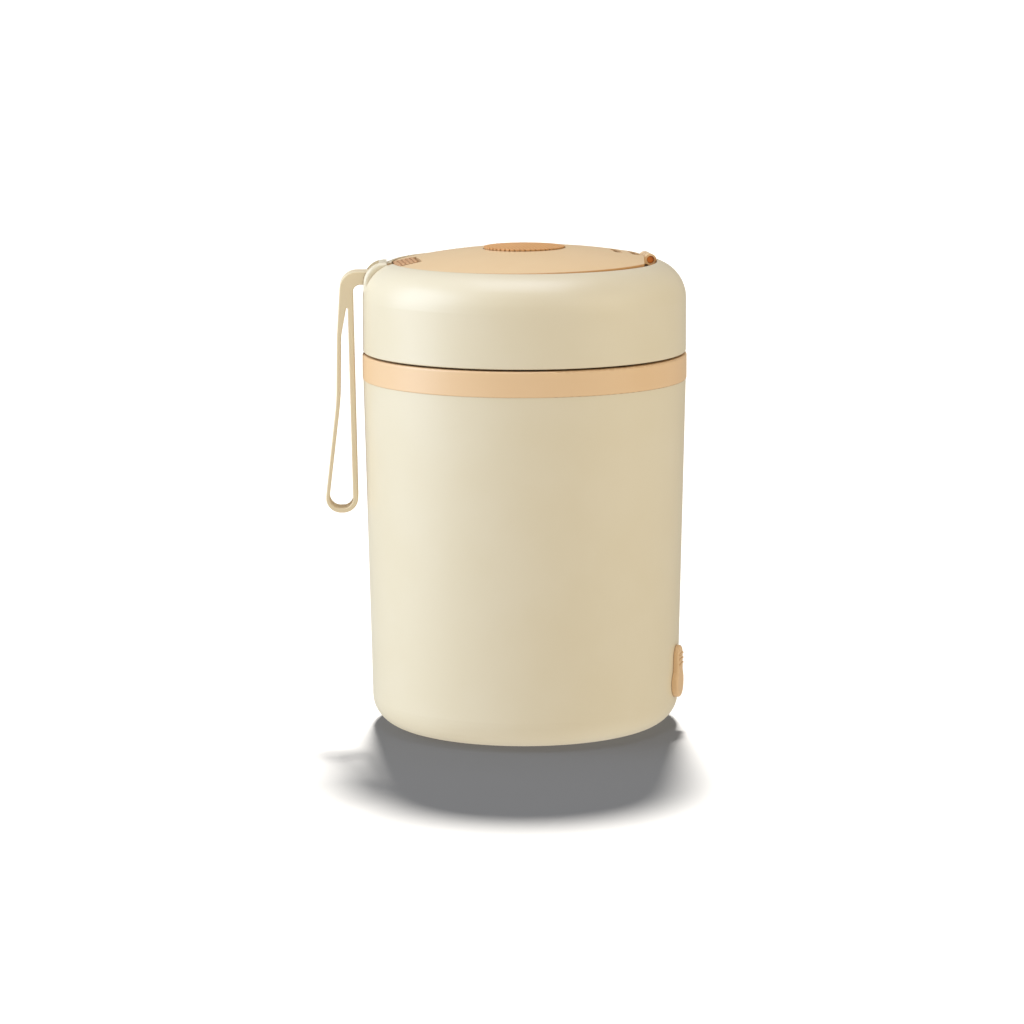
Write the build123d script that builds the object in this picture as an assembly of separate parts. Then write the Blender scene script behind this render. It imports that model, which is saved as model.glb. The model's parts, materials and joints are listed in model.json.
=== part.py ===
from build123d import *
from math import sqrt
import os

# Insulated food jar, millimetres. +Z is up, the origin is the centre of the resting face,
# the cover's hinge is at +X and its thumb latch at -X.

# Fits
seat_gap = 0.05          # between faces that meet but come apart
running_gap = 0.05       # radial clearance of a pin or stem in its bore
moving_gap = 0.3         # clearance between a moving piece and its surroundings
fit_gap = 0.1            # clearance of a piece dropped into another of the same body

# Outer casing, a tapered cup
body_radius = 58.1
casing_taper = 2.8
casing_wall = 2.0
casing_corner = 10.3
casing_top = 126.6
floor_thickness = 2.4

# Anti-slip pad let into the foot
pad_inset = 13.3
pad_thickness = 1.8
pad_proud = 0.8
pad_groove_depth = 0.3
pad_groove_width = 1.2
pad_groove_radii = (14.0, 23.0, 32.0)

# Collar with the threaded neck
collar_proud = 0.25
collar_height = 9.1
collar_web = 3.4
skirt_depth = 7.0
skirt_wall = 2.0
neck_inset = 8.7
neck_wall = 2.4
neck_height = 12.0

# Food liner, a drawn steel cup that hangs by its flange
flange_width = 3.8
liner_wall = 0.8
liner_floor = 12.0
liner_corner = 12.0
flange_thickness = 0.8
gasket_thickness = 0.8
gasket_lip_depth = 3.0
foot_ring_radius = 32.0
foot_ring_wall = 2.4
foot_rib_count = 6
foot_rib_length = 8.0
foot_rib_thickness = 1.6

# Water port and its plug, low on the side
port_azimuth = -22.3
port_height = 17.2
port_bore = 3.6
bush_radius = 5.0
bush_depth = 7.4
bush_nut_radius = 7.4
bush_nut_thickness = 2.6
plug_head_radius = 5.6
plug_head_proud = 2.2
plug_head_edge = 0.9
plug_tab_half_width = 3.9
plug_tab_reach = 9.5
plug_waist = 1.5
plug_rib_height = 0.3
plug_rib_width = 1.4
plug_stem_depth = 6.6
plug_hollow = 1.9
pull_rib_radius = 0.35
pull_rib_places = (6.6, 8.4, 10.2)

# Lid shell and its screw insert
seam_gap = 0.7
lid_height = 32.65
lid_shoulder = 13.6
lid_lip_edge = 0.35
lid_wall = 2.2
lid_rib_count = 16
lid_rib_thickness = 1.6
lid_rib_height = 12.0
deck_width = 10.5
recess_wall = 1.8
ledge_drop = 5.05
ledge_thickness = 2.0
mouth_step = 4.0
mouth_wall = 2.0
thread_room = 1.5
thread_skirt_wall = 2.4
insert_web = 2.0
lip_thickness = 1.6
liner_lip_gap = 0.4

# Floating seal under the lid
seal_thickness = 1.8
carrier_thickness = 1.7
carrier_play = 0.1
seal_inset = 0.5

# Hinged cover; its crowned top is set over towards the hinge, so its edge is lower at the latch
cover_drop = 0.25
cover_crown = 5.05
crown_shift = 2.9
cover_edge = 0.5
cover_wall = 2.0
cover_rim_depth = 4.35
cup_gap = 0.8
cup_draft = 1.6
cup_rise = 4.2
cup_wall = 1.6
cup_flange_inset = 2.3
cup_flange_thickness = 1.0
cover_seal_thickness = 1.35
foam_gap = 0.4
foam_drop = 1.2
slot_insets = (13.9, 7.4)
slot_width = 3.2
slot_length = 13.0
grille_drop = 0.8
grille_plate = 0.9
grille_margin = 1.2
grille_gap = 0.9
grille_pitch = 2.6

# Hinge
hinge_inset = 2.3
barrel_radius = 2.05
barrel_half_length = 6.0
knuckle_half_width = 1.8
pin_radius = 1.35
pin_recess = 0.7
hinge_link_length = 3.5
hinge_link_thickness = 2.4
hinge_link_rise = 0.9
hinge_flare = 10.0
hinge_flare_wall = 0.6

# Thumb latch
tab_inset = 0.3
tab_length = 7.4
tab_width = 16.8
tab_travel = 1.2
tab_proud = 0.35
tab_edge = 0.3
tab_cross_grooves = 4
tab_long_grooves = 8
tab_groove_width = 0.6
tab_groove_depth = 0.35
slide_drop = 3.3
slide_thickness = 1.15
wing_width = 20.0
wing_inset = 4.1
bolt_width = 4.4
bolt_reach = 1.7
latch_spring_radius = 1.0
latch_spring_wire = 0.35
latch_coil_count = 5
latch_spring_length = 5.5

# Vent button and valve
button_radius = 14.5
button_proud = 0.6
button_crown = 0.15
button_thickness = 2.2
button_skirt = 4.6
button_skirt_wall = 1.6
serration_count = 48
serration_depth = 0.35
well_wall = 1.5
well_drop = 2.8
stem_radius = 2.0
stem_below = 3.6
guide_wall = 1.5
guide_flange_radius = 8.0
guide_flange_drop = 1.0
guide_flange_thickness = 1.2
disc_radius = 6.0
disc_thickness = 1.8
clip_radius = 3.4
clip_thickness = 0.7
button_spring_radius = 5.2
button_spring_wire = 0.8
button_coil_count = 4

# Screws that hold the cup to the cover
screw_circle = 28.0
screw_count = 4
screw_radius = 1.1
screw_head_radius = 2.6
screw_head_height = 1.2
boss_radius = 3.2
screw_grip = 7.0

# Carry strap, drawn from the lid's side outwards and from its pivot downwards
strap_azimuth = 173.0
strap_width = 10.0
strap_edge = 0.4
strap_outer_band = 1.5
strap_inner_band = 1.9
strap_foot_band = 1.6
stem_thickness = 4.7
stem_bend = 6.2
stem_inner_bend = 2.6
strap_outer_line = ((7.9, 0.0), (9.4, 23.5), (9.75, 46.5), (14.5, 87.2))
strap_inner_line = ((3.5, 0.0), (2.1, 87.2))
strap_sweep = 80.0
strap_loop_start = 10.7
strap_throat = 0.5
loop_end = 5.4
strap_pin_radius = 1.0
pivot_inset = 3.1
pivot_drop = 5.9

# Lug that carries the strap, a bump on the lid's shoulder
lug_width = 14.8
lug_face_inset = 0.35
lug_drop = 0.15
lug_depth = 11.4
lug_round = 7.5
lug_edge = 1.6
channel_gap = 0.35
channel_back_gap = 0.4

# Places that follow from the sizes above
casing_top_radius = body_radius
casing_foot_radius = body_radius - casing_taper
collar_radius = body_radius + collar_proud
lid_radius = body_radius
pad_radius = casing_foot_radius - pad_inset
neck_radius = body_radius - neck_inset
neck_bore = neck_radius - neck_wall
liner_bore = neck_radius - flange_width
liner_radius = liner_bore + liner_wall
mouth_bore = liner_bore - mouth_step
mouth_tube_radius = mouth_bore + mouth_wall
seal_bore = liner_bore + seal_inset
seal_radius = neck_radius - fit_gap * 2
thread_skirt_bore = neck_radius + thread_room
thread_skirt_radius = thread_skirt_bore + thread_skirt_wall
recess_radius = lid_radius - deck_width
cover_radius = recess_radius - moving_gap
cup_radius = mouth_bore - cup_gap
cup_foot_radius = cup_radius - cup_draft
cup_flange_radius = cover_radius - cup_flange_inset
hinge_radius = cover_radius - hinge_inset
tab_outer = cover_radius - tab_inset
wing_outer = cover_radius - wing_inset
pivot_radius = lid_radius - pivot_inset
lug_face_radius = lid_radius - lug_face_inset
button_well = button_radius + moving_gap
guide_radius = stem_radius + running_gap + guide_wall

casing_floor = pad_proud + floor_thickness
seam_height = casing_top + collar_height
neck_top = seam_height + neck_height
flange_seat = neck_top + gasket_thickness
mouth_rim = flange_seat + flange_thickness
seal_seat = mouth_rim + seat_gap
seal_top = seal_seat + seal_thickness
carrier_top = seal_top + carrier_thickness
web_foot = carrier_top + carrier_play
lid_foot = seam_height + seam_gap
lid_top = lid_foot + lid_height
ledge_height = lid_top - ledge_drop
cup_floor = mouth_rim + cup_rise
cup_top = cup_floor + cup_wall
flange_foot = ledge_height + seat_gap + cover_seal_thickness
foam_top = ledge_height - foam_drop
cover_rim = lid_top - cover_drop
cover_foot = cover_rim - cover_rim_depth
dome_radius = (cover_radius ** 2 + cover_crown ** 2) / (2 * cover_crown)
dome_centre = cover_rim + cover_crown - dome_radius
slide_floor = cover_rim - slide_drop
well_foot = cover_rim - well_drop
guide_top = well_foot - guide_flange_drop
pivot_height = lid_top - pivot_drop
lug_top = lid_top - lug_drop


def casing_radius(height):
    """Outer radius of the tapered casing at a height."""
    rise = (height - pad_proud) / (casing_top - pad_proud)
    return casing_foot_radius + (casing_top_radius - casing_foot_radius) * rise


def dome_height(x, y=0.0):
    """Height of the cover's crowned top at a place."""
    return dome_centre + sqrt(dome_radius ** 2 - (x - crown_shift) ** 2 - y ** 2)


def turned(*corners):
    """Solid of revolution from corners of (radius, height) or (radius, height, rounding)."""
    points = [corner[:2] for corner in corners]
    rounding = [corner[2] if len(corner) > 2 else 0 for corner in corners]
    outline = FilletPolyline(*points, radius=rounding, close=True)
    return revolve(Plane.XZ * make_face(outline), Axis.Z)


def tube(outer, inner, foot, top):
    """Plain ring about Z."""
    return turned((inner, foot), (outer, foot), (outer, top), (inner, top))


def disc(radius, foot, top):
    """Plain cylinder about Z."""
    return Pos(0, 0, foot) * Cylinder(radius, top - foot, align=(Align.CENTER, Align.CENTER, Align.MIN))


def block(x_range, y_range, z_range):
    """Box between two values on each axis."""
    size = [high - low for low, high in (x_range, y_range, z_range)]
    centre = [(high + low) / 2 for low, high in (x_range, y_range, z_range)]
    return Pos(*centre) * Box(*size)


def rod_x(radius, start, end):
    """Cylinder along X."""
    return Rot(0, 90, 0) * disc(radius, start, end)


def rod_y(radius, centre_x, centre_z, half_length):
    """Cylinder along Y, centred on y = 0."""
    return Pos(centre_x, 0, centre_z) * Rot(90, 0, 0) * Cylinder(radius, 2 * half_length)


def around(count, shape, start=0.0):
    """Copies of a piece turned about Z, as a list."""
    return [Rot(0, 0, start + copy * 360 / count) * shape for copy in range(count)]


def spring(radius, wire, coils, length):
    """Open coil spring that stands on z = 0."""
    pitch = (length - wire) / coils
    path = Pos(0, 0, wire / 2) * Helix(pitch=pitch, height=pitch * coils, radius=radius)
    section = Plane(origin=path @ 0, z_dir=path % 0) * Circle(wire / 2)
    return sweep(section, path=path, is_frenet=True)


def dome_solid(radius, drop, foot):
    """Everything under the cover's crowned top, lowered by drop, down to a flat foot."""
    reach = radius + crown_shift + 1
    apex = dome_centre + dome_radius - drop
    half_way = dome_height(crown_shift + reach / 2) - drop
    edge = dome_height(crown_shift + reach) - drop
    top = ThreePointArc((0, apex), (reach / 2, half_way), (reach, edge))
    sides = Polyline((reach, edge), (reach, foot), (0, foot), (0, apex))
    cap = Pos(crown_shift, 0, 0) * revolve(Plane.XZ * make_face(top + sides), Axis.Z)
    return cap & disc(radius, foot, apex + 1)


def at_port(shape):
    """Move a piece modelled along +X to the port's azimuth and height."""
    return Rot(0, 0, port_azimuth) * Pos(0, 0, port_height) * shape


def at_strap(shape):
    """Move a piece modelled towards +X to the strap's azimuth."""
    return Rot(0, 0, strap_azimuth) * shape


def at_screws(shape):
    """Copies of a piece at the four cover screws."""
    return around(screw_count, Pos(screw_circle, 0, 0) * shape, 45)


def casing_envelope(grow):
    """The space inside the casing's outer surface, grown by a clearance."""
    foot = pad_proud - grow
    return turned(
        (0, foot),
        (casing_foot_radius + grow, foot, casing_corner + grow),
        (casing_top_radius + grow, casing_top),
        (0, casing_top),
    )


# Jar

def outer_casing():
    inner_corner = casing_corner - casing_wall
    cavity = turned(
        (0, casing_floor),
        (casing_radius(casing_floor) - casing_wall, casing_floor, inner_corner),
        (casing_top_radius - casing_wall, casing_top),
        (0, casing_top),
    )
    pad_recess = disc(pad_radius + fit_gap, 0, pad_thickness)
    port_hole = at_port(rod_x(bush_radius, casing_foot_radius / 2, casing_top_radius + 5))
    return casing_envelope(0) - cavity - pad_recess - port_hole


def base_pad():
    pad = turned((0, 0), (pad_radius, 0, 0.6), (pad_radius, pad_thickness), (0, pad_thickness))
    for radius in pad_groove_radii:
        pad -= tube(radius + pad_groove_width, radius, -1, pad_groove_depth)
    return pad


def collar_ring():
    skirt_foot = casing_top - skirt_depth
    skirt_top_radius = casing_radius(casing_top) - casing_wall - fit_gap
    skirt_foot_radius = casing_radius(skirt_foot) - casing_wall - fit_gap
    web_under = seam_height - collar_web
    return turned(
        (neck_bore, web_under),
        (neck_bore, neck_top, 0.5),
        (neck_radius, neck_top, 0.5),
        (neck_radius, seam_height, 0.8),
        (collar_radius, seam_height, 0.7),
        (collar_radius, casing_top, 0.4),
        (skirt_top_radius, casing_top),
        (skirt_foot_radius, skirt_foot),
        (skirt_foot_radius - skirt_wall, skirt_foot),
        (skirt_foot_radius - skirt_wall, web_under, 1.0),
    )


def food_liner():
    inner_floor = liner_floor + liner_wall
    return turned(
        (0, liner_floor),
        (liner_radius, liner_floor, liner_corner),
        (liner_radius, flange_seat),
        (neck_radius, flange_seat),
        (neck_radius, mouth_rim),
        (liner_bore, mouth_rim, flange_thickness),
        (liner_bore, inner_floor, liner_corner - liner_wall),
        (0, inner_floor),
    )


def liner_gasket():
    return turned(
        (liner_radius, neck_top - gasket_lip_depth),
        (liner_radius, flange_seat),
        (neck_radius, flange_seat),
        (neck_radius, neck_top),
        (neck_bore, neck_top),
        (neck_bore, neck_top - gasket_lip_depth),
    )


def liner_foot():
    ring = tube(foot_ring_radius, foot_ring_radius - foot_ring_wall, casing_floor, liner_floor)
    rib = block(
        (foot_ring_radius - foot_ring_wall / 2, foot_ring_radius + foot_rib_length),
        (-foot_rib_thickness / 2, foot_rib_thickness / 2),
        (casing_floor, (casing_floor + liner_floor) / 2),
    )
    return ring + around(foot_rib_count, rib)


def port_bush():
    inner_end = casing_radius(port_height) - bush_depth
    sleeve = rod_x(bush_radius, inner_end, casing_top_radius + 5)
    nut = rod_x(bush_nut_radius, inner_end, inner_end + bush_nut_thickness)
    bore = rod_x(port_bore, inner_end - 1, casing_top_radius + 6)
    return (at_port(sleeve) & casing_envelope(0)) + at_port(nut) - at_port(bore)


def plug_head_outline():
    """Round plug head with a pull tab that reaches up the casing."""
    tab = Pos(0, plug_tab_reach / 2) * Rectangle(2 * plug_tab_half_width, plug_tab_reach)
    outline = Circle(plug_head_radius) + tab + Pos(0, plug_tab_reach) * Circle(plug_tab_half_width)
    waist_height = sqrt(plug_head_radius ** 2 - plug_tab_half_width ** 2)
    waist = [corner for corner in outline.vertices() if abs(corner.Y - waist_height) < 0.01]
    return fillet(waist, plug_waist)


def port_plug():
    face = casing_radius(port_height)
    outer_face = face + plug_head_proud
    stem_radius_in_bore = port_bore - running_gap
    inner_end = face - plug_stem_depth
    head = extrude(Plane.YZ.offset(face - 2) * plug_head_outline(), plug_head_proud + 2)
    head = fillet(head.faces().sort_by(Axis.X)[-1].edges(), plug_head_edge)
    for place in pull_rib_places:
        head += rod_y(pull_rib_radius, outer_face, place, plug_tab_half_width - plug_head_edge)
    head = at_port(head) - casing_envelope(seat_gap)
    stem = rod_x(stem_radius_in_bore - plug_rib_height, inner_end, outer_face - plug_head_edge)
    for place in (0.25, 0.6):
        rib_start = inner_end + place * plug_stem_depth
        stem += rod_x(stem_radius_in_bore, rib_start, rib_start + plug_rib_width)
    hollow = rod_x(plug_hollow, inner_end, face - 1)
    return head + at_port(stem) - at_port(hollow)


# Floating seal between the lid and the liner's flange

def mouth_gasket():
    return turned(
        (seal_bore, seal_seat, 0.4),
        (seal_radius, seal_seat, 0.4),
        (seal_radius, seal_top),
        (seal_bore, seal_top),
    )


def seal_carrier():
    bore = mouth_tube_radius + moving_gap
    lip = seal_seat + seal_thickness / 3
    return turned(
        (bore, seal_seat),
        (seal_bore, seal_seat),
        (seal_bore, seal_top),
        (seal_radius, seal_top),
        (seal_radius, lip),
        (neck_radius + 0.6, lip),
        (neck_radius + 0.6, carrier_top),
        (bore, carrier_top),
    )


# Lid

def lug_envelope():
    """Rounded bump that the strap lug fills in the lid's shoulder."""
    half = lug_width / 2
    body = block((recess_radius + recess_wall, lug_face_radius), (-half, half), (lug_top - lug_depth, lug_top))
    crest = body.edges().filter_by(Axis.Y).group_by(Axis.X)[-1].sort_by(Axis.Z)[-1]
    body = fillet(crest, lug_round)
    sides = [
        edge for edge in body.edges()
        if abs(edge.center().Y) > half - 0.01
        and edge.center().X > recess_radius + recess_wall + 0.1
        and edge.center().Z > lug_top - lug_depth + 0.1
    ]
    return fillet(sides, lug_edge)


def lid_shell():
    outer = turned((0, lid_foot), (lid_radius, lid_foot, 0.5), (lid_radius, lid_top, lid_shoulder), (0, lid_top))
    inner_radius = lid_radius - lid_wall
    inner_top = lid_top - lid_wall
    cavity = turned(
        (0, lid_foot - 1),
        (inner_radius, lid_foot - 1),
        (inner_radius, inner_top, lid_shoulder - lid_wall),
        (0, inner_top),
    )
    shell = outer - cavity
    shell += tube(recess_radius + recess_wall, recess_radius / 2, ledge_height, lid_top - lid_wall / 2) & outer
    shell -= disc(recess_radius, ledge_height - 1, lid_top + 1)
    shell -= at_strap(lug_envelope())
    rim = shell.edges().filter_by(GeomType.CIRCLE).filter_by(lambda edge: abs(edge.radius - recess_radius) < 0.01)
    shell = fillet(rim.sort_by(Axis.Z)[-1], lid_lip_edge)
    rib = block(
        (thread_skirt_radius + fit_gap, inner_radius + lid_wall / 4),
        (-lid_rib_thickness / 2, lid_rib_thickness / 2),
        (lid_foot + 2, lid_foot + 2 + lid_rib_height),
    )
    shell += around(lid_rib_count, rib)
    bolt_notch = block(
        (-cover_radius - bolt_reach - 2 * moving_gap, -recess_radius + 1),
        (-bolt_width / 2 - moving_gap, bolt_width / 2 + moving_gap),
        (slide_floor - moving_gap, lid_top + 1),
    )
    return shell - bolt_notch


def inner_lid():
    lip_radius = liner_bore - liner_lip_gap
    lip_top = seal_seat - carrier_play
    ledge_foot = ledge_height - ledge_thickness
    ledge_radius = recess_radius + recess_wall - fit_gap
    return turned(
        (mouth_bore, lip_top - lip_thickness, 0.4),
        (lip_radius, lip_top - lip_thickness, 0.4),
        (lip_radius, lip_top),
        (mouth_tube_radius, lip_top),
        (mouth_tube_radius, web_foot),
        (thread_skirt_bore, web_foot),
        (thread_skirt_bore, lid_foot + 0.4),
        (thread_skirt_radius, lid_foot + 0.4),
        (thread_skirt_radius, web_foot + insert_web, 1.5),
        (mouth_tube_radius, web_foot + insert_web),
        (mouth_tube_radius, ledge_foot),
        (ledge_radius, ledge_foot),
        (ledge_radius, ledge_height),
        (mouth_bore, ledge_height, 0.4),
    )


def lid_insulation():
    foot = web_foot + insert_web + fit_gap
    top = ledge_height - ledge_thickness - fit_gap
    ring = tube(thread_skirt_radius - 1, mouth_tube_radius + fit_gap, foot, top)
    return ring - at_strap(lug_envelope())


def strap_lug():
    half_channel = strap_width / 2 + channel_gap
    channel_back = pivot_radius - stem_thickness / 2 - channel_back_gap
    channel_floor = pivot_height - stem_thickness / 2 - channel_back_gap
    channel = block(
        (channel_back, lug_face_radius + 1),
        (-half_channel, half_channel),
        (channel_floor, lug_top + 1),
    )
    pin_hole = rod_y(strap_pin_radius, pivot_radius, pivot_height, lug_width / 2 - 1)
    return at_strap(lug_envelope() - channel - pin_hole)


def strap_pin():
    return at_strap(rod_y(strap_pin_radius, pivot_radius, pivot_height, lug_width / 2 - 1))


def hinge_bracket():
    half_stalk = barrel_radius - 0.2
    stalk = block(
        (hinge_radius - half_stalk, hinge_radius + half_stalk),
        (-knuckle_half_width, knuckle_half_width),
        (ledge_height, cover_rim),
    )
    knuckle = rod_y(barrel_radius, hinge_radius, cover_rim, knuckle_half_width)
    return stalk + knuckle - rod_y(pin_radius, hinge_radius, cover_rim, barrel_half_length)


def hinge_pin():
    return rod_y(pin_radius, hinge_radius, cover_rim, barrel_half_length - pin_recess)


# Cover

def tab_pocket():
    """Space in the cover that the thumb tab slides in."""
    half_width = tab_width / 2 + moving_gap
    inner_end = -tab_outer + tab_length + tab_travel + moving_gap
    return block(
        (-cover_radius - 1, inner_end),
        (-half_width, half_width),
        (slide_floor - moving_gap, lid_top + cover_crown),
    )


def wing_room():
    """Space beside and below the thumb tab for the wings that hold it under the cover."""
    half_width = wing_width / 2 + moving_gap
    inner_end = -tab_outer + tab_length + tab_travel + moving_gap
    return block((-cover_radius, inner_end), (-half_width, half_width), (slide_floor - moving_gap, lid_top))


def steam_slot(inset, shrink):
    """Bar with rounded ends that cuts a steam slot; shrink makes it the grille's island."""
    middle = cover_radius - inset
    half_width = slot_width / 2 - shrink
    half_length = slot_length / 2 - shrink
    bar = block(
        (middle - half_width, middle + half_width),
        (-half_length, half_length),
        (cover_foot, lid_top + cover_crown),
    )
    return fillet(bar.edges().filter_by(Axis.Z), half_width - 0.2)


def spring_post():
    """Wall under the cover that the latch spring pushes against."""
    start = -tab_outer + tab_length + latch_spring_length
    half_width = latch_spring_radius + latch_spring_wire + 1.0
    return block((start, start + 1.6), (-half_width, half_width), (slide_floor, dome_height(start) - 1))


def flare_wedge(side, across, start, half):
    """Upright slab that runs from beside the hinge to the cover's edge and leans away from the hinge."""
    foot = flange_foot + cup_flange_thickness + fit_gap
    slab = block(across, sorted((-2 * side, side * cover_radius / 2)), (foot, lid_top + cover_crown))
    return Pos(start, side * half, 0) * Rot(0, 0, side * hinge_flare) * slab


def hinged(dome):
    """Cut the hinge gap with flared sides into the cover's edge and add its two outer knuckles."""
    gap_half = barrel_half_length + 2 * moving_gap
    gap_start = hinge_radius - barrel_radius - 2 * moving_gap
    envelope = dome_solid(cover_radius - hinge_flare_wall, hinge_flare_wall, cover_foot)
    for side in (-1, 1):
        dome += flare_wedge(side, (-hinge_flare_wall, 0.2), gap_start, gap_half) & envelope
        dome -= flare_wedge(side, (0, cover_radius / 4), gap_start, gap_half)
    dome -= block((gap_start, cover_radius + 1), (-gap_half, gap_half), (ledge_height, lid_top + cover_crown))
    inner = knuckle_half_width + moving_gap
    length = barrel_half_length - inner
    link_top = cover_rim + hinge_link_rise
    for side in (-1, 1):
        span = sorted((side * inner, side * barrel_half_length))
        knuckle = Pos(0, sum(span) / 2, 0) * rod_y(barrel_radius, hinge_radius, cover_rim, length / 2)
        link = block(
            (hinge_radius - hinge_link_length, hinge_radius),
            span,
            (link_top - hinge_link_thickness, link_top),
        )
        dome += knuckle + link
    return dome - rod_y(pin_radius + running_gap, hinge_radius, cover_rim, barrel_half_length + 1)


def cover_dome():
    outer = dome_solid(cover_radius, 0, cover_foot)
    rim = [edge for edge in outer.edges() if edge.length > cover_radius and edge.bounding_box().min.Z > cover_rim - 1]
    outer = fillet([edge for edge in rim if edge.bounding_box().max.Z < cover_rim + 1], cover_edge)
    dome = outer - dome_solid(cover_radius - cover_wall, cover_wall, cover_foot)
    dome += disc(button_well + well_wall, well_foot, cover_rim + cover_crown / 2)
    dome -= disc(button_well, well_foot - 1, lid_top + cover_crown)
    dome += at_screws(disc(boss_radius, cup_top, dome_height(-screw_circle) - 1))
    dome -= at_screws(disc(screw_radius, cup_floor, cup_top + screw_grip))
    dome -= tab_pocket()
    dome += spring_post()
    for inset in slot_insets:
        dome -= steam_slot(inset, 0)
    return hinged(dome)


def slot_grille():
    """Insert under the cover whose barred islands fill the steam slots."""
    inner_end = cover_radius - slot_insets[0] - slot_width / 2 - grille_margin
    outer_end = cover_radius - slot_insets[1] + slot_width / 2
    half_length = slot_length / 2 + grille_margin
    plate_room = block((inner_end, outer_end), (-half_length, half_length), (cover_foot, lid_top + cover_crown))
    plate_top = dome_solid(cover_radius, cover_wall + seat_gap, cover_foot)
    plate_under = dome_solid(cover_radius, cover_wall + seat_gap + grille_plate, cover_foot - 1)
    island_top = dome_solid(cover_radius, grille_drop, cover_foot)
    grille = plate_room & plate_top
    for inset in slot_insets:
        grille += steam_slot(inset, fit_gap) & island_top
    grille -= plate_under
    bars = int(slot_length / 2 / grille_pitch)
    for bar in range(-bars, bars + 1):
        place = bar * grille_pitch
        for inset in slot_insets:
            middle = cover_radius - inset
            half = slot_width / 2 - 3 * fit_gap
            grille -= block(
                (middle - half, middle + half),
                (place - grille_gap / 2, place + grille_gap / 2),
                (cover_foot - 2, lid_top + cover_crown),
            )
    return grille


def inner_cup():
    cup = turned(
        (0, cup_floor),
        (cup_foot_radius, cup_floor, 3.0),
        (cup_radius, flange_foot),
        (cup_flange_radius, flange_foot),
        (cup_flange_radius, flange_foot + cup_flange_thickness),
        (cup_radius - cup_wall, flange_foot + cup_flange_thickness),
        (cup_foot_radius - cup_wall, cup_top, 1.6),
        (0, cup_top),
    )
    cup -= disc(stem_radius + running_gap, cup_floor - 1, cup_top + 1)
    cup -= at_screws(disc(screw_radius, cup_floor - 1, cup_top + 1))
    hinge_half = barrel_half_length + 2 * moving_gap
    hinge_gap_start = hinge_radius - barrel_radius - moving_gap
    cup -= block((hinge_gap_start, hinge_radius + 1), (-hinge_half, hinge_half), (flange_foot, cover_rim))
    return cup - wing_room()


def cover_gasket():
    seat = ledge_height + seat_gap
    outer = cup_flange_radius - fit_gap * 2
    ring = turned(
        (cup_radius + fit_gap, seat, 0.4),
        (outer, seat, 0.4),
        (outer, flange_foot),
        (cup_radius + fit_gap, flange_foot),
    )
    stalk_gap = knuckle_half_width + moving_gap
    hinge_gap_start = hinge_radius - barrel_radius - moving_gap
    return ring - block((hinge_gap_start, hinge_radius), (-stalk_gap, stalk_gap), (ledge_height, flange_foot))


def cover_insulation():
    foot = cup_top + fit_gap
    bore = guide_radius + foam_gap
    foam = turned(
        (bore, foot),
        (cup_foot_radius - cup_wall - 4 * foam_gap, foot),
        (cup_radius - cup_wall - 3 * foam_gap, foam_top),
        (bore, foam_top),
    )
    return foam - at_screws(disc(boss_radius + foam_gap, foot - 1, foam_top + 1))


def valve_guide():
    guide = disc(guide_radius, cup_top, guide_top)
    guide += disc(guide_flange_radius, guide_top - guide_flange_thickness, guide_top)
    return guide - disc(stem_radius + running_gap, cup_floor, guide_top + 1)


def cover_screws():
    shank = disc(screw_radius, cup_floor - 0.1, cup_top + screw_grip - 1)
    head = turned(
        (0, cup_floor - screw_head_height),
        (screw_head_radius, cup_floor - screw_head_height, 0.6),
        (screw_head_radius, cup_floor),
        (0, cup_floor),
    )
    return Compound(at_screws(shank + head))


# Thumb latch

def tab_pad():
    """The grip of the thumb tab, cut with crossed grooves."""
    inner_end = -tab_outer + tab_length
    pad = block((-tab_outer, inner_end), (-tab_width / 2, tab_width / 2), (slide_floor, lid_top + cover_crown))
    pad = fillet(pad.edges().filter_by(Axis.Z), 1.2)
    pad = pad & dome_solid(tab_outer, -tab_proud, slide_floor)
    pad = fillet(pad.faces().sort_by(Axis.Z)[-1].edges(), tab_edge)
    cutter = dome_solid(cover_radius, tab_groove_depth - tab_proud, slide_floor)
    for groove in range(tab_cross_grooves):
        place = -tab_outer + (groove + 1) * tab_length / (tab_cross_grooves + 1)
        span = (place - tab_groove_width / 2, place + tab_groove_width / 2)
        pad -= block(span, (-tab_width / 2, tab_width / 2), (slide_floor, lid_top + cover_crown)) - cutter
    for groove in range(tab_long_grooves):
        place = -tab_width / 2 + (groove + 1) * tab_width / (tab_long_grooves + 1)
        span = (place - tab_groove_width / 2, place + tab_groove_width / 2)
        pad -= block((-tab_outer, inner_end), span, (slide_floor, lid_top + cover_crown)) - cutter
    return pad


def latch_tab():
    slide_top = slide_floor + slide_thickness
    bolt = block(
        (-cover_radius - bolt_reach, -tab_outer + 2),
        (-bolt_width / 2, bolt_width / 2),
        (slide_floor, slide_top),
    )
    nose = bolt.edges().filter_by(Axis.Y).group_by(Axis.X)[0].sort_by(Axis.Z)[0]
    wings = block(
        (-wing_outer, -tab_outer + tab_length),
        (-wing_width / 2, wing_width / 2),
        (slide_floor, slide_top),
    )
    return tab_pad() + wings + chamfer(nose, 0.6)


def latch_spring():
    start = -tab_outer + tab_length
    axis_height = slide_floor + latch_spring_radius + latch_spring_wire - 0.05
    coil = spring(latch_spring_radius, latch_spring_wire, latch_coil_count, latch_spring_length)
    return Pos(start, 0, axis_height) * Rot(0, 90, 0) * coil


# Vent

def button_rim():
    """Height of the button's top edge."""
    return dome_height(0, button_radius) + button_proud


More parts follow.
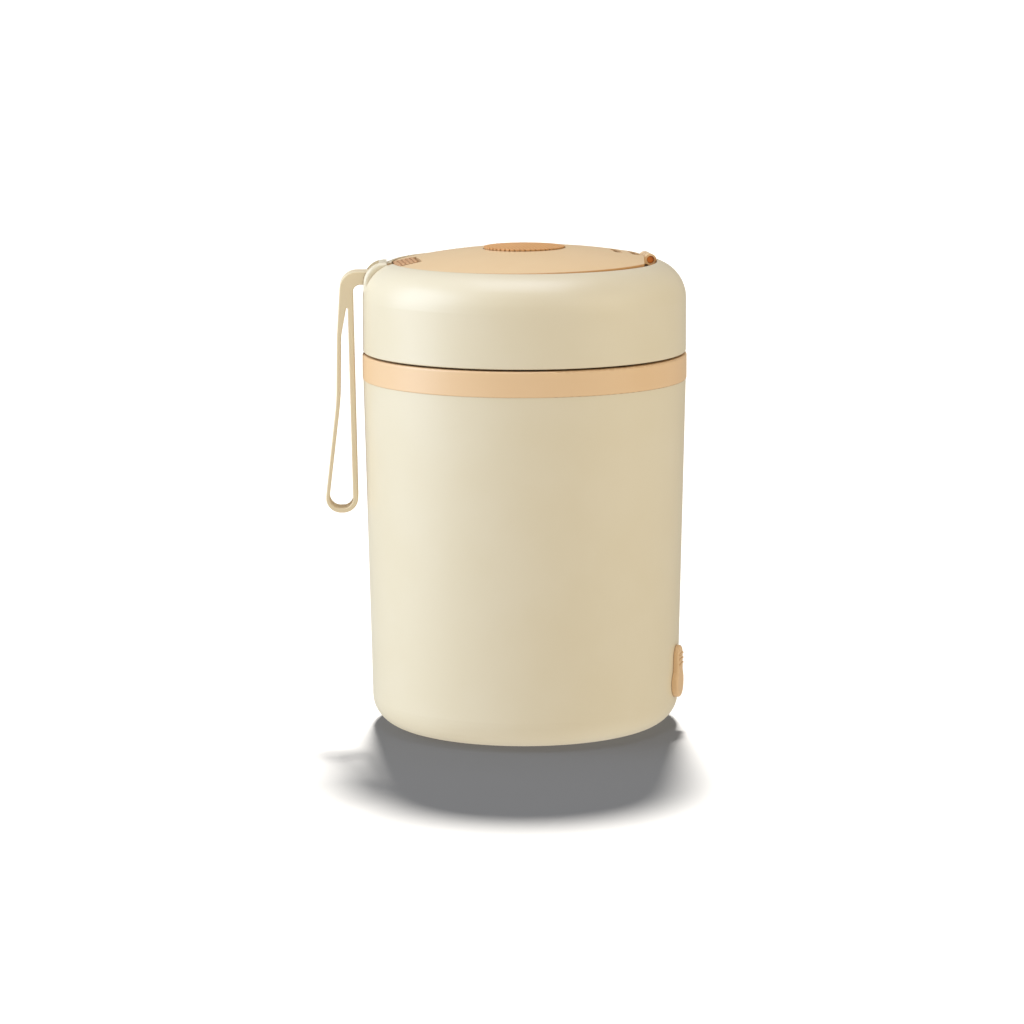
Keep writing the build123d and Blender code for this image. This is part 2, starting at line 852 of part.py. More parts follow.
def vent_button():
    edge = button_rim()
    crown = edge + button_crown
    top = ThreePointArc((0, crown), (button_radius / 2, edge + button_crown * 0.75), (button_radius, edge))
    skirt_foot = edge - button_skirt
    plate_foot = edge - button_thickness
    rest = Polyline(
        (button_radius, edge),
        (button_radius, skirt_foot),
        (button_radius - button_skirt_wall, skirt_foot),
        (button_radius - button_skirt_wall, plate_foot),
        (0, plate_foot),
        (0, crown),
    )
    button = revolve(Plane.XZ * make_face(top + rest), Axis.Z)
    tooth_gap = block(
        (-serration_depth, serration_depth),
        (-serration_depth, serration_depth),
        (edge - 1.0, crown + 1),
    )
    return button - around(serration_count, Pos(button_radius, 0, 0) * Rot(0, 0, 45) * tooth_gap)


def valve_stem():
    top = button_rim() - button_thickness
    stem = disc(stem_radius, cup_floor - stem_below, top)
    return stem + disc(stem_radius + 1.4, top - 1.2, top)


def valve_disc():
    top = cup_floor - seat_gap
    return turned(
        (stem_radius, top),
        (disc_radius, top),
        (disc_radius, top - disc_thickness, 0.8),
        (stem_radius, top - disc_thickness),
    )


def stem_clip():
    top = cup_floor - seat_gap - disc_thickness
    clip = tube(clip_radius, stem_radius, top - clip_thickness, top)
    return clip - block((0, clip_radius + 1), (-stem_radius * 0.7, stem_radius * 0.7), (top - 2, top + 1))


def button_spring():
    top = button_rim() - button_thickness
    coil = spring(button_spring_radius, button_spring_wire, button_coil_count, top - guide_top)
    return Pos(0, 0, guide_top) * coil


# Carry strap

def strap_points(line, inwards=0.0):
    """Corners of a strap line, from offsets out of the lid's side and down from the stem."""
    stem_top = pivot_height + stem_thickness / 2
    return [(lid_radius + out - inwards, stem_top - down) for out, down in line]


def carry_strap():
    """Moulded silicone strap: an eye, a stem bent over the shoulder and an open hand loop."""
    stem_top = pivot_height + stem_thickness / 2
    stem_under = stem_top - stem_thickness
    outer = strap_points(strap_outer_line)
    inner_top, inner_foot = strap_points(strap_inner_line)
    outline = FilletPolyline(
        (pivot_radius, stem_top), *outer, inner_foot, (inner_top[0], stem_under), (pivot_radius, stem_under),
        radius=[0, stem_bend, strap_sweep, strap_sweep, loop_end, loop_end, stem_inner_bend, 0], close=True)
    loop_top = stem_top - strap_loop_start - stem_thickness / 2
    loop_foot = inner_foot[1] + strap_foot_band
    band_outer = strap_points(strap_outer_line, strap_outer_band)
    throat = inner_top[0] + strap_inner_band
    loop = FilletPolyline(
        (throat, loop_top), (throat + strap_throat, loop_top), band_outer[1], band_outer[2],
        (band_outer[3][0], loop_foot), (inner_foot[0] + strap_inner_band, loop_foot),
        radius=[0.2, 0.2, strap_sweep / 3, strap_sweep, loop_end - strap_outer_band, loop_end - strap_inner_band],
        close=True)
    eye = Pos(pivot_radius, pivot_height) * Circle(stem_thickness / 2)
    pin_hole = Pos(pivot_radius, pivot_height) * Circle(strap_pin_radius + running_gap)
    side_view = make_face(outline) + eye - pin_hole - make_face(loop)
    band = extrude(Plane.XZ * side_view, strap_width / 2, both=True)
    sides = band.edges().group_by(Axis.Y)
    return at_strap(fillet(sides[0] + sides[-1], strap_edge))


pieces = {
    "outer_casing": outer_casing,
    "base_pad": base_pad,
    "collar_ring": collar_ring,
    "food_liner": food_liner,
    "liner_gasket": liner_gasket,
    "liner_foot": liner_foot,
    "port_bush": port_bush,
    "port_plug": port_plug,
    "mouth_gasket": mouth_gasket,
    "seal_carrier": seal_carrier,
    "lid_shell": lid_shell,
    "inner_lid": inner_lid,
    "lid_insulation": lid_insulation,
    "strap_lug": strap_lug,
    "strap_pin": strap_pin,
    "hinge_bracket": hinge_bracket,
    "hinge_pin": hinge_pin,
    "cover_dome": cover_dome,
    "slot_grille": slot_grille,
    "inner_cup": inner_cup,
    "cover_gasket": cover_gasket,
    "cover_insulation": cover_insulation,
    "valve_guide": valve_guide,
    "cover_screws": cover_screws,
    "latch_tab": latch_tab,
    "latch_spring": latch_spring,
    "vent_button": vent_button,
    "valve_stem": valve_stem,
    "valve_disc": valve_disc,
    "stem_clip": stem_clip,
    "button_spring": button_spring,
    "carry_strap": carry_strap,
}

os.makedirs("parts", exist_ok=True)
for name, make in pieces.items():
    export_step(make(), f"parts/{name}.step")
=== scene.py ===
import bmesh
import bpy
import json
from math import cos, pi, radians, sin
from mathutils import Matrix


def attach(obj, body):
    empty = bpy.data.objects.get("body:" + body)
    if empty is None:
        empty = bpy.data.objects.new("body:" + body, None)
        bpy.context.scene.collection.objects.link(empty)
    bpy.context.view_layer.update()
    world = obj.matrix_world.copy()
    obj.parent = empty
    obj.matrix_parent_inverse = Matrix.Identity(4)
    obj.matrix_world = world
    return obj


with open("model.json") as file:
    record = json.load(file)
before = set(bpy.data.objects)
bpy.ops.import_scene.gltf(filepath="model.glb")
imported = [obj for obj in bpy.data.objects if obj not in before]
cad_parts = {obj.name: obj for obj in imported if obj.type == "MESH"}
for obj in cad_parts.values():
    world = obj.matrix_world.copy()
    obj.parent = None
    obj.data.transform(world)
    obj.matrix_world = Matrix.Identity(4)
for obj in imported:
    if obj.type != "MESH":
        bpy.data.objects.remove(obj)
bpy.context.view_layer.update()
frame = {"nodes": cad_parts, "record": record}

MM = 0.001
WHITE = (1, 1, 1, 1)

# Viewpoint, with the lens and the sensor in millimetres
VIEW_AZIMUTH = radians(-9.0)
VIEW_ELEVATION = radians(8.92)
VIEW_ROLL = radians(0.148)
VIEW_DISTANCE = 1.413
VIEW_REACH = 50
AIM_HEIGHT = 85 * MM
SENSOR_WIDTH = 36.0
LENS = 137.1
FRAME_SHIFT = (-0.01108, -0.0206)

# Threads between the jar's neck and the lid; the corner reach is a share of the thread's depth
THREAD_LEAD = 12 * MM
THREAD_STARTS = 3
THREAD_TURNS = 0.62
THREAD_STEPS = 60
THREAD_ROOT_WIDTH = 2.0 * MM
THREAD_CREST_WIDTH = 0.9 * MM
THREAD_SMOOTHING = radians(30)
CORNER_REACH = 0.25

# Each thread's root radius, crest radius and starting height
NECK_THREAD = (49.3 * MM, 50.35 * MM, 138.4 * MM)
LID_THREAD = (51.0 * MM, 49.85 * MM, 140.4 * MM)

# Softboxes, as name, azimuth and elevation in degrees, distance, size, power and colour
SOFTBOXES = (
    ("key_softbox", 80, 20, 1.4, (1.1, 1.3), 23.0, (0.67, 0.80, 1.0)),
    ("fill_softbox", -60, 15, 1.5, (1.0, 1.2), 6.9, (1.0, 0.95, 0.77)),
    ("top_softbox", 10, 85, 1.4, (0.9, 0.9), 11.0, (0.74, 0.82, 1.0)),
)
WORLD_COLOUR = (1.0, 0.92, 0.82)
WORLD_STRENGTH = 0.345

# Floor: the colour and the even lift that the camera sees, and the light given out to all other rays
FLOOR_SIZE = 40
FLOOR_SEEN = (0.095, 0.092, 0.087, 1)
FLOOR_LIFT = (0.095, 0.095, 0.095, 1)
FLOOR_GLOW = 0.95
FLOOR_GLOW_IN_GLOSS = 0.35

# Sun that falls on the floor alone
FLOOR_SUN_LEAN = radians(34.0)
FLOOR_SUN_SOFTNESS = radians(10.0)
FLOOR_SUN_POWER = 48.0

# Nodes with a finish of their own
FINER_FINISH = {
    "vent_button": "button_grip",
    "hinge_pin": "amber_plastic",
    "slot_grille": "slot_grille_shade",
    "port_plug": "plug_silicone",
    "cover_dome": "cover_plastic",
}

# Skin of moulded plastic and silicone: clouding, grain, and painted shade in narrow gaps, a deeper colour
# mixed in by ambient occlusion
CLOUD_SCALE = 38.0
CLOUD_DETAIL = 3.0
CLOUD_RANGE = (0.35, 0.65)
GRAIN_DETAIL = 2.0
GLOSS_SPREAD = 0.08
NOISE_MIDDLE = 0.5
# Painted shade in narrow gaps: the reach, samples and range of the ambient occlusion, and the shade colours
GAP_REACH = 0.8 * MM
GAP_SAMPLES = 6
GAP_RANGE = (0.35, 0.85)
GAP_SHADE_COLOUR = (0.300, 0.130, 0.040)
CREAM_GAP_SHADE = (0.560, 0.430, 0.260)

# Textures of that skin, as roughness, grain fineness and grain depth
SATIN_SKIN = (0.36, 2600, 0.006 * MM)
GRIP_SKIN = (0.50, 1500, 0.03 * MM)
MATT_SKIN = (0.50, 1900, 0.015 * MM)
MILKY_SKIN = (0.45, 1900, 0.01 * MM)
PAD_SKIN = (0.65, 1500, 0.03 * MM)
BUTTON_SKIN = (0.65, 1500, 0.01 * MM)
PIN_SKIN = (0.40, 1500, 0.01 * MM)
SLOT_SKIN = (0.50, 1500, 0.01 * MM)

# Painted shadow line on the cover's rim, and the raised dots of the vent button, with painted shade between
# the dots
COVER_RIM_RADIUS = 46.9 * MM
RIM_BLEND = 0.3 * MM
LEVEL_ONLY = (1, 1, 0)
STUD_SCALE = 800.0
STUD_RANGE = (0.25, 0.50)
STUD_HEIGHT = 0.15 * MM

# Steel, with its turned and drawn lines as roughness and squeeze on each axis
STEEL_METALLIC = 0.75
STEEL_LINE_SCALE = 60.0
STEEL_LINE_DETAIL = 5.0
STEEL_LINE_DEPTH = 0.015 * MM
STEEL_GLOSS_RANGE = (-0.06, 0.10)
TURNED_LINES = (0.36, (1, 1, 40))
DRAWN_LINES = (0.25, (8, 8, 8))

# Foam
FOAM_ROUGHNESS = 0.85
FOAM_CELL_SCALE = 420.0
FOAM_CELL_DEPTH = 0.4 * MM

# Colours of the finishes, as linear values
CREAM = (0.760, 0.655, 0.460)
CREAM_CLOUD = (0.748, 0.640, 0.440)
PEACH = (0.810, 0.545, 0.300)
PEACH_CLOUD = (0.795, 0.525, 0.280)
COVER = (0.860, 0.600, 0.325)
COVER_CLOUD = (0.845, 0.580, 0.305)
# Painted shadow line on the cover's rim
COVER_RIM_SHADOW = (0.560, 0.270, 0.080)
ORANGE = (0.780, 0.400, 0.150)
# Orange clouding colour, also the painted shade between the vent button's dots
ORANGE_CLOUD_AND_DOT_SHADE = (0.640, 0.300, 0.090)
GRIP = (0.780, 0.470, 0.250)
GRIP_CLOUD = (0.740, 0.420, 0.200)
# Slot grille: its accent colour made deeper as painted shade inside the vent slots
SLOT_GRILLE_SHADE = (0.430, 0.190, 0.060)
SLOT_GRILLE_SHADE_CLOUD = (0.360, 0.150, 0.045)
AMBER = (0.850, 0.280, 0.045)
AMBER_CLOUD = (0.780, 0.240, 0.035)
STRAP = (0.810, 0.660, 0.420)
STRAP_CLOUD = (0.795, 0.635, 0.395)
PLUG = (0.780, 0.520, 0.275)
PLUG_CLOUD = (0.760, 0.495, 0.255)
MILKY = (0.70, 0.68, 0.60)
MILKY_CLOUD = (0.64, 0.61, 0.53)
STEEL = (0.78, 0.77, 0.75)
STEEL_STREAK = (0.70, 0.69, 0.67)
FOAM = (0.86, 0.85, 0.82)
FOAM_CELL = (0.70, 0.68, 0.64)


def add_camera():
    """Camera that looks down a little at the jar's front, with the hinge to the right."""
    level = VIEW_DISTANCE * cos(VIEW_ELEVATION)
    place = (
        sin(VIEW_AZIMUTH) * level,
        -cos(VIEW_AZIMUTH) * level,
        AIM_HEIGHT + VIEW_DISTANCE * sin(VIEW_ELEVATION),
    )
    bpy.ops.object.camera_add(location=place, rotation=(pi / 2 - VIEW_ELEVATION, VIEW_ROLL, VIEW_AZIMUTH))
    camera = bpy.context.object
    camera.data.sensor_width = SENSOR_WIDTH
    camera.data.lens = LENS
    camera.data.shift_x, camera.data.shift_y = FRAME_SHIFT
    camera.data.clip_end = VIEW_REACH
    bpy.context.scene.camera = camera


# Shader helpers

def link(tree, source, target):
    """Join an output socket to an input socket."""
    tree.links.new(source, target)


def node(tree, kind, **values):
    """Add a shader node and set its plain properties."""
    made = tree.nodes.new(kind)
    for name, value in values.items():
        setattr(made, name, value)
    return made


def value_range(tree, low, high, **values):
    """Add a node that turns the values from low to high into 0 to 1."""
    made = node(tree, "ShaderNodeMapRange", **values)
    made.inputs["From Min"].default_value = low
    made.inputs["From Max"].default_value = high
    return made


def colour_mix(tree, first=None, second=None):
    """Add a mix from a first colour to a second; a colour that isn't given is linked in by the caller."""
    made = node(tree, "ShaderNodeMix", data_type="RGBA")
    for socket, colour in (("A", first), ("B", second)):
        if colour:
            made.inputs[socket].default_value = (*colour, 1)
    return made


def shader_choice(tree, chooser, first, second, target):
    """Send the first shader to a target, or the second where the chooser is 1."""
    pick = node(tree, "ShaderNodeMixShader")
    for source, socket in zip((chooser, first, second), pick.inputs):
        link(tree, source, socket)
    link(tree, pick.outputs["Shader"], target)


def new_material(name):
    """Start a material, and return it with its node tree and its Principled shader."""
    material = bpy.data.materials.new(name)
    material.use_nodes = True
    tree = material.node_tree
    return material, tree, tree.nodes["Principled BSDF"]


def skin_group():
    """Moulded skin: soft clouding, painted shade in narrow gaps from ambient occlusion, fine grain in gloss
    and surface.
    """
    group = bpy.data.node_groups.new("moulded_skin", "ShaderNodeTree")
    face = group.interface
    for name, kind in (
        ("Colour", "NodeSocketColor"),
        ("Cloud", "NodeSocketColor"),
        ("Gap Shade", "NodeSocketColor"),
        ("Roughness", "NodeSocketFloat"),
        ("Grain Fineness", "NodeSocketFloat"),
        ("Grain Depth", "NodeSocketFloat"),
    ):
        face.new_socket(name, in_out="INPUT", socket_type=kind)
    face.new_socket("Colour", in_out="OUTPUT", socket_type="NodeSocketColor")
    face.new_socket("Roughness", in_out="OUTPUT", socket_type="NodeSocketFloat")
    face.new_socket("Normal", in_out="OUTPUT", socket_type="NodeSocketVector")
    given = node(group, "NodeGroupInput")
    result = node(group, "NodeGroupOutput")
    place = node(group, "ShaderNodeTexCoord")

    cloud = node(group, "ShaderNodeTexNoise")
    cloud.inputs["Scale"].default_value = CLOUD_SCALE
    cloud.inputs["Detail"].default_value = CLOUD_DETAIL
    spread = value_range(group, *CLOUD_RANGE)
    clouded = colour_mix(group)
    link(group, place.outputs["Object"], cloud.inputs["Vector"])
    link(group, cloud.outputs["Fac"], spread.inputs["Value"])
    link(group, spread.outputs["Result"], clouded.inputs["Factor"])
    link(group, given.outputs["Colour"], clouded.inputs["A"])
    link(group, given.outputs["Cloud"], clouded.inputs["B"])

    # Painted shade: where ambient occlusion finds parts close by, the colour turns to the gap shade colour
    nearby = node(group, "ShaderNodeAmbientOcclusion", samples=GAP_SAMPLES)
    nearby.inputs["Distance"].default_value = GAP_REACH
    open_share = value_range(group, *GAP_RANGE)
    shaded = colour_mix(group)
    link(group, nearby.outputs["AO"], open_share.inputs["Value"])
    link(group, open_share.outputs["Result"], shaded.inputs["Factor"])
    link(group, given.outputs["Gap Shade"], shaded.inputs["A"])
    link(group, clouded.outputs["Result"], shaded.inputs["B"])
    link(group, shaded.outputs["Result"], result.inputs["Colour"])

    grain = node(group, "ShaderNodeTexNoise")
    grain.inputs["Detail"].default_value = GRAIN_DETAIL
    centre = node(group, "ShaderNodeMath", operation="SUBTRACT")
    centre.inputs[1].default_value = NOISE_MIDDLE
    gloss = node(group, "ShaderNodeMath", operation="MULTIPLY_ADD")
    gloss.inputs[1].default_value = GLOSS_SPREAD
    bump = node(group, "ShaderNodeBump")
    link(group, place.outputs["Object"], grain.inputs["Vector"])
    link(group, given.outputs["Grain Fineness"], grain.inputs["Scale"])
    link(group, grain.outputs["Fac"], centre.inputs[0])
    link(group, centre.outputs["Value"], gloss.inputs[0])
    link(group, given.outputs["Roughness"], gloss.inputs[2])
    link(group, gloss.outputs["Value"], result.inputs["Roughness"])
    link(group, given.outputs["Grain Depth"], bump.inputs["Distance"])
    link(group, grain.outputs["Fac"], bump.inputs["Height"])
    link(group, bump.outputs["Normal"], result.inputs["Normal"])
    return group


SKIN = skin_group()


def moulded(name, colour, cloud, texture, gap_shade=GAP_SHADE_COLOUR):
    """Plastic or silicone material on the shared moulded skin."""
    material, tree, shader = new_material(name)
    roughness, fineness, depth = texture
    skin = node(tree, "ShaderNodeGroup", node_tree=SKIN)
    skin.inputs["Colour"].default_value = (*colour, 1)
    skin.inputs["Cloud"].default_value = (*cloud, 1)
    # Colour of the painted shade in narrow gaps
    skin.inputs["Gap Shade"].default_value = (*gap_shade, 1)
    skin.inputs["Roughness"].default_value = roughness
    skin.inputs["Grain Fineness"].default_value = fineness
    skin.inputs["Grain Depth"].default_value = depth
    link(tree, skin.outputs["Colour"], shader.inputs["Base Color"])
    link(tree, skin.outputs["Roughness"], shader.inputs["Roughness"])
    link(tree, skin.outputs["Normal"], shader.inputs["Normal"])
    return material


def brushed_steel(name, roughness, squeeze):
    """Steel with fine lines, which run as the squeeze of their noise on each axis makes them."""
    material, tree, shader = new_material(name)
    shader.inputs["Metallic"].default_value = STEEL_METALLIC
    place = node(tree, "ShaderNodeTexCoord")
    squeezed = node(tree, "ShaderNodeMapping")
    squeezed.inputs["Scale"].default_value = squeeze
    lines = node(tree, "ShaderNodeTexNoise")
    lines.inputs["Scale"].default_value = STEEL_LINE_SCALE
    lines.inputs["Detail"].default_value = STEEL_LINE_DETAIL
    streaks = colour_mix(tree, STEEL, STEEL_STREAK)
    smoother, rougher = STEEL_GLOSS_RANGE
    gloss = node(tree, "ShaderNodeMapRange")
    gloss.inputs["To Min"].default_value = roughness + smoother
    gloss.inputs["To Max"].default_value = roughness + rougher
    bump = node(tree, "ShaderNodeBump")
    bump.inputs["Distance"].default_value = STEEL_LINE_DEPTH
    link(tree, place.outputs["Object"], squeezed.inputs["Vector"])
    link(tree, squeezed.outputs["Vector"], lines.inputs["Vector"])
    link(tree, lines.outputs["Fac"], streaks.inputs["Factor"])
    link(tree, lines.outputs["Fac"], gloss.inputs["Value"])
    link(tree, lines.outputs["Fac"], bump.inputs["Height"])
    link(tree, streaks.outputs["Result"], shader.inputs["Base Color"])
    link(tree, gloss.outputs["Result"], shader.inputs["Roughness"])
    link(tree, bump.outputs["Normal"], shader.inputs["Normal"])
    return material


def foam_material():
    """Closed-cell foam, with its cells in colour and relief."""
    material, tree, shader = new_material("closed_cell_foam")
    shader.inputs["Roughness"].default_value = FOAM_ROUGHNESS
    place = node(tree, "ShaderNodeTexCoord")
    cells = node(tree, "ShaderNodeTexVoronoi")
    cells.inputs["Scale"].default_value = FOAM_CELL_SCALE
    celled = colour_mix(tree, FOAM, FOAM_CELL)
    bump = node(tree, "ShaderNodeBump", invert=True)
    bump.inputs["Distance"].default_value = FOAM_CELL_DEPTH
    link(tree, place.outputs["Object"], cells.inputs["Vector"])
    link(tree, cells.outputs["Distance"], celled.inputs["Factor"])
    link(tree, cells.outputs["Distance"], bump.inputs["Height"])
    link(tree, celled.outputs["Result"], shader.inputs["Base Color"])
    link(tree, bump.outputs["Normal"], shader.inputs["Normal"])
    return material


def rim_shadowed(name, colour, cloud, rim_shadow_colour, radius):
    """Moulded plastic with a painted shadow line: beyond a radius about the jar's axis, its outermost rim
    has a deeper colour.
    """
    material = moulded(name, colour, cloud, SATIN_SKIN)
    tree = material.node_tree
    shader = tree.nodes["Principled BSDF"]
    skin_colour = shader.inputs["Base Color"].links[0].from_socket
    place = node(tree, "ShaderNodeTexCoord")
    flat = node(tree, "ShaderNodeVectorMath", operation="MULTIPLY")
    flat.inputs[1].default_value = LEVEL_ONLY
    reach = node(tree, "ShaderNodeVectorMath", operation="LENGTH")
    edge = value_range(tree, radius - RIM_BLEND, radius + RIM_BLEND)
    # Painted shadow line: the colour deepens outside the rim radius
    tint = colour_mix(tree, second=rim_shadow_colour)
    link(tree, place.outputs["Object"], flat.inputs[0])
    link(tree, flat.outputs["Vector"], reach.inputs[0])
    link(tree, reach.outputs["Value"], edge.inputs["Value"])
    link(tree, edge.outputs["Result"], tint.inputs["Factor"])
    link(tree, skin_colour, tint.inputs["A"])
    link(tree, tint.outputs["Result"], shader.inputs["Base Color"])
    return material


def studded(name, colour, dot_shade_colour):
    """Grip plastic with rows of fine raised dots, whose relief takes the place of the skin's grain, and
    painted shade, a deeper colour, between the dots.
    """
    material = moulded(name, colour, colour, BUTTON_SKIN)
    tree = material.node_tree
    shader = tree.nodes["Principled BSDF"]
    skin = shader.inputs["Base Color"].links[0].from_node
    place = node(tree, "ShaderNodeTexCoord")
    dots = node(tree, "ShaderNodeTexVoronoi", voronoi_dimensions="2D")
    dots.inputs["Scale"].default_value = STUD_SCALE
    dots.inputs["Randomness"].default_value = 0.0
    height = value_range(tree, *STUD_RANGE, interpolation_type="SMOOTHSTEP")
    height.inputs["To Min"].default_value = 1.0
    height.inputs["To Max"].default_value = 0.0
    # Painted shade: the colour deepens between the dots, where their relief is low
    tint = colour_mix(tree, dot_shade_colour, colour)
    bump = node(tree, "ShaderNodeBump")
    bump.inputs["Distance"].default_value = STUD_HEIGHT
    link(tree, place.outputs["Object"], dots.inputs["Vector"])
    link(tree, dots.outputs["Distance"], height.inputs["Value"])
    link(tree, height.outputs["Result"], tint.inputs["Factor"])
    link(tree, height.outputs["Result"], bump.inputs["Height"])
    link(tree, tint.outputs["Result"], skin.inputs["Colour"])
    link(tree, bump.outputs["Normal"], shader.inputs["Normal"])
    return material


def make_finishes():
    """One material for each finish of the record, and one for each finer finish."""
    return {
        # Cream plastic, with a lighter painted shade in its gaps
        "cream_plastic": moulded("cream_plastic", CREAM, CREAM_CLOUD, SATIN_SKIN, CREAM_GAP_SHADE),
        "peach_plastic": moulded("peach_plastic", PEACH, PEACH_CLOUD, SATIN_SKIN),
        "accent_plastic": moulded("accent_plastic", GRIP, GRIP_CLOUD, GRIP_SKIN),
        "accent_silicone": moulded("accent_silicone", STRAP, STRAP_CLOUD, MATT_SKIN),
        "clear_silicone": moulded("milky_silicone", MILKY, MILKY_CLOUD, MILKY_SKIN),
        "pad_silicone": moulded("pad_silicone", PEACH_CLOUD, ORANGE_CLOUD_AND_DOT_SHADE, PAD_SKIN),
        "steel": brushed_steel("turned_steel", *TURNED_LINES),
        "spring_steel": brushed_steel("spring_wire", *DRAWN_LINES),
        "foam": foam_material(),
        # Cover, with a painted shadow line on its rim
        "cover_plastic": rim_shadowed("cover_plastic", COVER, COVER_CLOUD, COVER_RIM_SHADOW, COVER_RIM_RADIUS),
        "plug_silicone": moulded("plug_silicone", PLUG, PLUG_CLOUD, MATT_SKIN),
        # Vent button, with painted shade between its dots
        "button_grip": studded("button_grip", ORANGE, ORANGE_CLOUD_AND_DOT_SHADE),
        "amber_plastic": moulded("amber_plastic", AMBER, AMBER_CLOUD, PIN_SKIN),
        # Slot grille in accent colour deepened into painted shade inside the vent slots
        "slot_grille_shade": moulded("slot_grille_shade", SLOT_GRILLE_SHADE, SLOT_GRILLE_SHADE_CLOUD, SLOT_SKIN),
    }


def dress_nodes(finishes):
    """Give every CAD node the finish of its material slot, or a finer one of the same kind."""
    for part in frame["record"]["subparts"]:
        piece = frame["nodes"][part["node"]]
        piece.data.materials.clear()
        piece.data.materials.append(finishes[FINER_FINISH.get(part["node"], part["material_slot"])])


# Pieces

def alone(piece):
    """Select one piece and nothing else."""
    bpy.ops.object.select_all(action="DESELECT")
    piece.select_set(True)
    bpy.context.view_layer.objects.active = piece


def choose(piece, test):
    """In edit mode, select the corners whose place passes a test."""
    mesh = bmesh.from_edit_mesh(piece.data)
    for corner in mesh.verts:
        corner.select_set(test(corner.co))
    mesh.select_flush_mode()
    bmesh.update_edit_mesh(piece.data)


def add_thread(name, place, body, slot, finishes):
    """Three-start right-hand thread; a crest inside the root makes the lid's inner thread."""
    root, crest, foot = place
    depth = abs(crest - root)
    middle = ((root + crest) / 2, 0, foot)
    bpy.ops.object.select_all(action="DESELECT")
    bpy.ops.mesh.primitive_plane_add(size=depth, location=middle, rotation=(pi / 2, 0, 0))
    piece = bpy.context.object
    piece.name = name
    bpy.ops.object.transform_apply(location=True, rotation=True, scale=True)
    bpy.ops.object.mode_set(mode="EDIT")
    bpy.ops.mesh.select_mode(type="VERT")
    for radius, width in ((root, THREAD_ROOT_WIDTH), (crest, THREAD_CREST_WIDTH)):
        choose(piece, lambda co: abs(co.x - radius) < CORNER_REACH * depth)
        bpy.ops.transform.resize(value=(1, 1, width / depth), center_override=(radius, 0, foot))
    bpy.ops.mesh.select_all(action="SELECT")
    bpy.ops.mesh.delete(type="ONLY_FACE")
    bpy.ops.object.mode_set(mode="OBJECT")

    bpy.ops.object.modifier_add(type="SCREW")
    sweep = piece.modifiers[-1]
    sweep.angle = 2 * pi * THREAD_TURNS
    sweep.screw_offset = THREAD_LEAD * THREAD_TURNS
    sweep.steps = sweep.render_steps = THREAD_STEPS
    bpy.ops.object.modifier_apply(modifier=sweep.name)

    bpy.ops.object.mode_set(mode="EDIT")
    bpy.ops.mesh.select_all(action="DESELECT")
    bpy.ops.mesh.select_non_manifold()
    bpy.ops.mesh.fill()
    bpy.ops.mesh.select_all(action="SELECT")
    for _ in range(THREAD_STARTS - 1):
        bpy.ops.mesh.duplicate()
        bpy.ops.transform.rotate(value=2 * pi / THREAD_STARTS, orient_axis="Z", center_override=(0, 0, 0))
    bpy.ops.mesh.select_all(action="SELECT")
    bpy.ops.mesh.normals_make_consistent(inside=False)
    bpy.ops.object.mode_set(mode="OBJECT")
    alone(piece)
    bpy.ops.object.shade_smooth_by_angle(angle=THREAD_SMOOTHING)
    piece.data.materials.append(finishes[slot])
    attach(piece, body)


# Stage

def stage_material():
    """Floor that shows the camera its lit and shaded surface, and gives out light to every other ray."""
    material, tree, shader = new_material("white_floor")
    tree.nodes.remove(shader)
    seen = node(tree, "ShaderNodeBsdfDiffuse")
    seen.inputs["Color"].default_value = FLOOR_SEEN
    lift = node(tree, "ShaderNodeEmission")
    lift.inputs["Color"].default_value = FLOOR_LIFT
    lifted = node(tree, "ShaderNodeAddShader")
    link(tree, seen.outputs["BSDF"], lifted.inputs[0])
    link(tree, lift.outputs["Emission"], lifted.inputs[1])

    glow = node(tree, "ShaderNodeEmission")
    glow.inputs["Color"].default_value = WHITE
    rays = node(tree, "ShaderNodeLightPath")
    level = node(tree, "ShaderNodeMapRange")
    level.inputs["To Min"].default_value = FLOOR_GLOW
    level.inputs["To Max"].default_value = FLOOR_GLOW_IN_GLOSS
    link(tree, rays.outputs["Is Glossy Ray"], level.inputs["Value"])
    link(tree, level.outputs["Result"], glow.inputs["Strength"])
    shader_choice(
        tree,
        rays.outputs["Is Camera Ray"],
        glow.outputs["Emission"],
        lifted.outputs["Shader"],
        tree.nodes["Material Output"].inputs["Surface"],
    )
    return material


def add_floor():
    """Add the floor, which is stage and not part of the jar."""
    bpy.ops.mesh.primitive_plane_add(size=FLOOR_SIZE)
    floor = bpy.context.object
    floor.name = "floor"
    floor.data.materials.append(stage_material())
    return floor


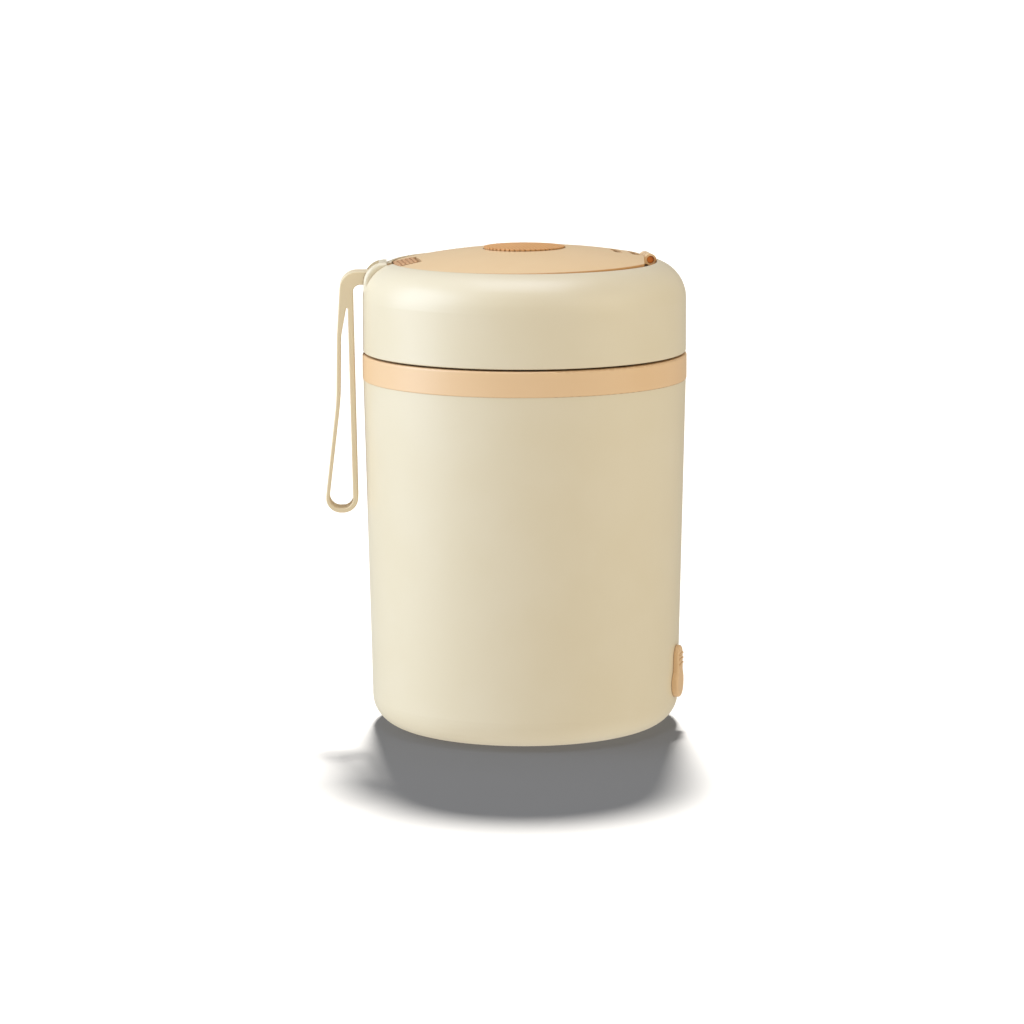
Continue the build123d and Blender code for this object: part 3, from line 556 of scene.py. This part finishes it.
def add_floor_light(floor):
    """Sun from behind that falls on the floor alone and lays the jar's shadow towards the front."""
    bpy.ops.object.light_add(type="SUN", rotation=(FLOOR_SUN_LEAN, 0, VIEW_AZIMUTH + pi))
    lamp = bpy.context.object
    lamp.name = "floor_light"
    lamp.data.energy = FLOOR_SUN_POWER
    lamp.data.angle = FLOOR_SUN_SOFTNESS
    lit = bpy.data.collections.new("floor_only")
    lit.objects.link(floor)
    lamp.light_linking.receiver_collection = lit


def add_world():
    """Even studio light; white where the camera or glass sees past the floor."""
    world = bpy.data.worlds.new("studio")
    bpy.context.scene.world = world
    world.use_nodes = True
    tree = world.node_tree
    plain = tree.nodes["Background"]
    plain.inputs["Color"].default_value = (*WORLD_COLOUR, 1)
    plain.inputs["Strength"].default_value = WORLD_STRENGTH
    white = node(tree, "ShaderNodeBackground")
    white.inputs["Color"].default_value = WHITE
    rays = node(tree, "ShaderNodeLightPath")
    clear = node(tree, "ShaderNodeMath", operation="MAXIMUM")
    link(tree, rays.outputs["Is Camera Ray"], clear.inputs[0])
    link(tree, rays.outputs["Is Transmission Ray"], clear.inputs[1])
    shader_choice(
        tree,
        clear.outputs["Value"],
        plain.outputs["Background"],
        white.outputs["Background"],
        tree.nodes["World Output"].inputs["Surface"],
    )


def add_softbox(name, azimuth, elevation, distance, size, power, colour):
    """Rectangular area lamp aimed at the jar; azimuth is counted from the viewpoint, leftwards positive."""
    turn = VIEW_AZIMUTH - radians(azimuth)
    rise = radians(elevation)
    level = distance * cos(rise)
    place = (sin(turn) * level, -cos(turn) * level, AIM_HEIGHT + distance * sin(rise))
    bpy.ops.object.light_add(type="AREA", location=place, rotation=(pi / 2 - rise, 0, turn))
    lamp = bpy.context.object
    lamp.name = name
    lamp.data.shape = "RECTANGLE"
    lamp.data.size, lamp.data.size_y = size
    lamp.data.energy = power
    lamp.data.color = colour


def add_lights():
    """Set up the softboxes."""
    for lamp in SOFTBOXES:
        add_softbox(*lamp)


bpy.context.scene.view_settings.view_transform = "Standard"
add_camera()
finishes = make_finishes()
dress_nodes(finishes)
add_thread("neck_thread", NECK_THREAD, "jar", "peach_plastic", finishes)
add_thread("lid_thread", LID_THREAD, "lid", "cream_plastic", finishes)
add_floor_light(add_floor())
add_world()
add_lights()
